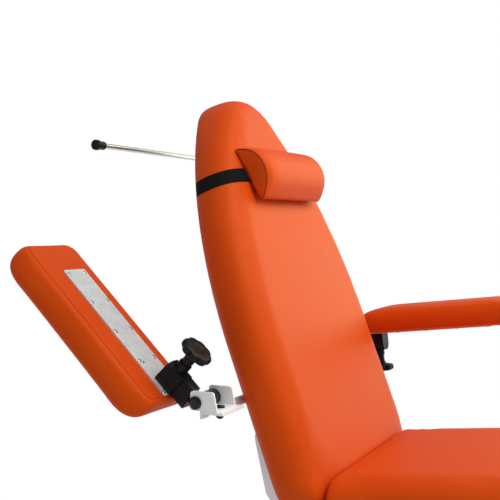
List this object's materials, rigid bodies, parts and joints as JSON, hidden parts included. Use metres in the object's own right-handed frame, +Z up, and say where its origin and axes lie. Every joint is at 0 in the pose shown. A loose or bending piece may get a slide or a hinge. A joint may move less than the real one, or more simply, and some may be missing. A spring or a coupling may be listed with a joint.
{
  "type": "electric hemodialysis chair",
  "caption": "Reclining treatment chair with padded seat, rounded backrest, head pillow, folding armrests, raising leg rest and lifting column on a castored base.",
  "frame": {"origin": "on the floor, under the middle of the base between the four castors' swivels in X and 60 mm in front of their middle in Y", "axes": "+Z up, the sitter faces -Y, the sitter's left is +X"},
  "size_m": [0.994, 1.2866, 1.3018],
  "materials": {
    "orange_vinyl": "vinyl-coated fabric over foam, satin",
    "black_elastic": "woven elastic, matte",
    "white_enamel": "powder coat, satin",
    "zinc_steel": "zinc plated, satin",
    "chrome_bar": "polished",
    "black_plastic": "moulded, satin",
    "black_cap": "moulded, gloss",
    "grey_plastic": "moulded, matte",
    "grey_tyre": "non-marking, matte",
    "anodised": "anodised, satin",
    "dark_cast": "cast and coated, matte",
    "board_black": "plywood behind black backing cloth, matte"
  },
  "bodies": {
    "base": {"base_rail_right": "white_enamel", "base_rail_left": "white_enamel", "base_cross_front": "white_enamel", "base_cross_rear": "white_enamel", "column_outer": "anodised"},
    "castor_front_right": {"castor_fork_front_right": "zinc_steel"},
    "wheel_front_right": {"castor_wheel_front_right": "grey_tyre"},
    "pedal_front_right": {"castor_pedal_front_right": "grey_plastic"},
    "castor_front_left": {"castor_fork_front_left": "zinc_steel"},
    "wheel_front_left": {"castor_wheel_front_left": "grey_tyre"},
    "pedal_front_left": {"castor_pedal_front_left": "grey_plastic"},
    "castor_rear_right": {"castor_fork_rear_right": "zinc_steel"},
    "wheel_rear_right": {"castor_wheel_rear_right": "grey_tyre"},
    "pedal_rear_right": {"castor_pedal_rear_right": "grey_plastic"},
    "castor_rear_left": {"castor_fork_rear_left": "zinc_steel"},
    "wheel_rear_left": {"castor_wheel_rear_left": "grey_tyre"},
    "pedal_rear_left": {"castor_pedal_rear_left": "grey_plastic"},
    "column_stage": {"column_middle": "anodised"},
    "chassis": {"column_inner": "anodised", "chassis_beam": "white_enamel", "control_box": "grey_plastic", "seat_board": "board_black", "seat_cushion": "orange_vinyl", "back_actuator": "dark_cast", "leg_actuator": "dark_cast"},
    "back": {"back_crank_shaft": "white_enamel", "back_lever_right": "white_enamel", "back_lever_left": "white_enamel", "arm_support_right": "white_enamel", "arm_support_left": "white_enamel", "back_board": "board_black", "back_cushion": "orange_vinyl", "head_pillow": "orange_vinyl", "pillow_strap": "black_elastic", "arm_shaft": "zinc_steel", "shaft_saddles": "zinc_steel", "roll_holder_bar": "chrome_bar", "roll_holder_cap": "black_plastic"},
    "back_rod": {"back_actuator_rod": "zinc_steel"},
    "leg": {"leg_crank_shaft": "white_enamel", "leg_beam": "white_enamel", "leg_board": "board_black", "leg_cushion": "orange_vinyl"},
    "leg_rod": {"leg_actuator_rod": "zinc_steel"},
    "foot": {"foot_rest": "anodised"},
    "swing_right": {"arm_bracket_right": "white_enamel", "arm_bolts_right": "black_cap"},
    "fold_right": {"arm_spindle_right": "black_cap"},
    "pad_right": {"arm_clamp_right": "black_plastic", "arm_plate_right": "zinc_steel", "arm_pad_right": "orange_vinyl"},
    "knob_right": {"arm_knob_right": "black_plastic"},
    "swing_left": {"arm_bracket_left": "white_enamel", "arm_bolts_left": "black_cap"},
    "fold_left": {"arm_spindle_left": "black_cap"},
    "pad_left": {"arm_clamp_left": "black_plastic", "arm_plate_left": "zinc_steel", "arm_pad_left": "orange_vinyl"},
    "knob_left": {"arm_knob_left": "black_plastic"}
  },
  "joints": [
    {"name": "swivel_front_right", "type": "hinge", "parent": "base", "child": "castor_front_right", "pos_m": [-0.33, -0.225, 0.165], "axis": [0, 0, 1], "continuous": true},
    {"name": "roll_front_right", "type": "hinge", "parent": "castor_front_right", "child": "wheel_front_right", "pos_m": [-0.33, -0.187, 0.0625], "axis": [1, 0, 0], "continuous": true},
    {"name": "brake_front_right", "type": "hinge", "parent": "castor_front_right", "child": "pedal_front_right", "pos_m": [-0.33, -0.181, 0.1355], "axis": [-1, 0, 0], "range_deg": [0, 12]},
    {"name": "swivel_front_left", "type": "hinge", "parent": "base", "child": "castor_front_left", "pos_m": [0.33, -0.225, 0.165], "axis": [0, 0, 1], "continuous": true},
    {"name": "roll_front_left", "type": "hinge", "parent": "castor_front_left", "child": "wheel_front_left", "pos_m": [0.33, -0.187, 0.0625], "axis": [1, 0, 0], "continuous": true},
    {"name": "brake_front_left", "type": "hinge", "parent": "castor_front_left", "child": "pedal_front_left", "pos_m": [0.33, -0.181, 0.1355], "axis": [-1, 0, 0], "range_deg": [0, 12]},
    {"name": "swivel_rear_right", "type": "hinge", "parent": "base", "child": "castor_rear_right", "pos_m": [-0.33, 0.345, 0.165], "axis": [0, 0, 1], "continuous": true},
    {"name": "roll_rear_right", "type": "hinge", "parent": "castor_rear_right", "child": "wheel_rear_right", "pos_m": [-0.33, 0.383, 0.0625], "axis": [1, 0, 0], "continuous": true},
    {"name": "brake_rear_right", "type": "hinge", "parent": "castor_rear_right", "child": "pedal_rear_right", "pos_m": [-0.33, 0.389, 0.1355], "axis": [-1, 0, 0], "range_deg": [0, 12]},
    {"name": "swivel_rear_left", "type": "hinge", "parent": "base", "child": "castor_rear_left", "pos_m": [0.33, 0.345, 0.165], "axis": [0, 0, 1], "continuous": true},
    {"name": "roll_rear_left", "type": "hinge", "parent": "castor_rear_left", "child": "wheel_rear_left", "pos_m": [0.33, 0.383, 0.0625], "axis": [1, 0, 0], "continuous": true},
    {"name": "brake_rear_left", "type": "hinge", "parent": "castor_rear_left", "child": "pedal_rear_left", "pos_m": [0.33, 0.389, 0.1355], "axis": [-1, 0, 0], "range_deg": [0, 12]},
    {"name": "lift", "type": "slide", "parent": "base", "child": "chassis", "axis": [0, 0, 1], "range_m": [0, 0.2]},
    {"name": "lift_stage", "type": "slide", "parent": "base", "child": "column_stage", "axis": [0, 0, 1], "range_m": [0, 0.1]},
    {"name": "recline", "type": "hinge", "parent": "chassis", "child": "back", "pos_m": [0, 0.265, 0.45], "axis": [-1, 0, 0], "range_deg": [0, 50]},
    {"name": "back_rod_slide", "type": "slide", "parent": "chassis", "child": "back_rod", "axis": [0, -1, 0], "range_m": [0, 0.071]},
    {"name": "leg_raise", "type": "hinge", "parent": "chassis", "child": "leg", "pos_m": [0, -0.215, 0.455], "axis": [-1, 0, 0], "range_deg": [0, 60]},
    {"name": "leg_rod_slide", "type": "slide", "parent": "chassis", "child": "leg_rod", "axis": [0, -1, 0], "range_m": [0, 0.0695]},
    {"name": "foot_slide", "type": "slide", "parent": "leg", "child": "foot", "axis": [0, -0.342, -0.9397], "range_m": [0, 0.07]},
    {"name": "arm_swing_right", "type": "hinge", "parent": "back", "child": "swing_right", "pos_m": [-0.385, 0.374, 0.686], "axis": [0, 0, -1], "range_deg": [0, 25]},
    {"name": "arm_fold_right", "type": "hinge", "parent": "swing_right", "child": "fold_right", "pos_m": [-0.385, 0.404, 0.704], "axis": [-1, 0, 0], "range_deg": [-129.2, 0]},
    {"name": "arm_turn_right", "type": "hinge", "parent": "fold_right", "child": "pad_right", "pos_m": [-0.395, 0.41167, 0.69611], "axis": [0, 0.7169, 0.6972], "range_deg": [-15, 15]},
    {"name": "knob_turn_right", "type": "hinge", "parent": "pad_right", "child": "knob_right", "pos_m": [-0.395, 0.45418, 0.7528], "axis": [0, 0.6972, -0.7169], "continuous": true},
    {"name": "arm_swing_left", "type": "hinge", "parent": "back", "child": "swing_left", "pos_m": [0.385, 0.374, 0.686], "axis": [0, 0, 1], "range_deg": [0, 25]},
    {"name": "arm_fold_left", "type": "hinge", "parent": "swing_left", "child": "fold_left", "pos_m": [0.385, 0.404, 0.704], "axis": [-1, 0, 0], "range_deg": [0, 129.2]},
    {"name": "arm_turn_left", "type": "hinge", "parent": "fold_left", "child": "pad_left", "pos_m": [0.395, 0.40526, 0.71493], "axis": [0, -0.9934, 0.1149], "range_deg": [-15, 15]},
    {"name": "knob_turn_left", "type": "hinge", "parent": "pad_left", "child": "knob_left", "pos_m": [0.395, 0.33446, 0.71205], "axis": [0, 0.1149, 0.9934], "continuous": true}
  ],
  "couplings": [
    {"joint": "lift_stage", "follows": "lift", "ratio": 0.5},
    {"joint": "back_rod_slide", "follows": "recline", "m_per_rad": 0.081221},
    {"joint": "leg_rod_slide", "follows": "leg_raise", "m_per_rad": 0.066159}
  ]
}
